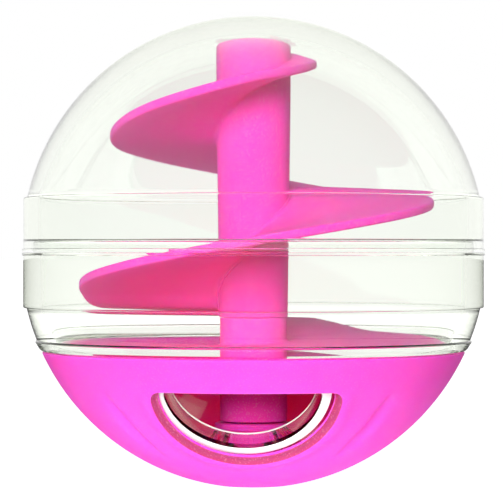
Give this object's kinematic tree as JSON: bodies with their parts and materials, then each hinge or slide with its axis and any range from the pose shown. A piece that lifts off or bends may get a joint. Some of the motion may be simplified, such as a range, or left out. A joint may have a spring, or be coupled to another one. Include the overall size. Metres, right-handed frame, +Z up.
{
  "type": "treat dispensing ball",
  "caption": "Clear two-part ball round a spiral ramp on a column, standing in a turning pink bowl with a half-moon outlet window.",
  "frame": {"origin": "centre of the flat foot under the ball, on the ball's vertical axis", "axes": "+Z up along the column and the turning axis; -Y is the front, where the outlet window is; +X is to the right seen from the front"},
  "size_m": [0.0998, 0.0998, 0.1012],
  "materials": {
    "clear_plastic": "polished clear moulded plastic",
    "pink_plastic": "smooth satin moulded plastic",
    "screw_steel": "zinc plated"
  },
  "bodies": {
    "base": {"outer_bowl": "pink_plastic", "pivot_collar": "pink_plastic", "pivot_screw": "screw_steel", "screw_washer": "screw_steel", "screw_cap": "pink_plastic"},
    "shell": {"lower_shell": "clear_plastic", "ramp_floor": "pink_plastic"},
    "spiral": {"spiral_column": "pink_plastic"},
    "lid": {"top_dome": "clear_plastic"}
  },
  "joints": [
    {"name": "window_dial", "type": "hinge", "parent": "base", "child": "shell", "pos_m": [0, 0, 0.029], "axis": [0, 0, 1], "range_deg": [0, 72]},
    {"name": "spiral_lift", "type": "slide", "parent": "shell", "child": "spiral", "axis": [0, 0, 1], "range_m": [0, 0.03]},
    {"name": "dome_lift", "type": "slide", "parent": "spiral", "child": "lid", "axis": [0, 0, 1], "range_m": [0, 0.07]}
  ]
}
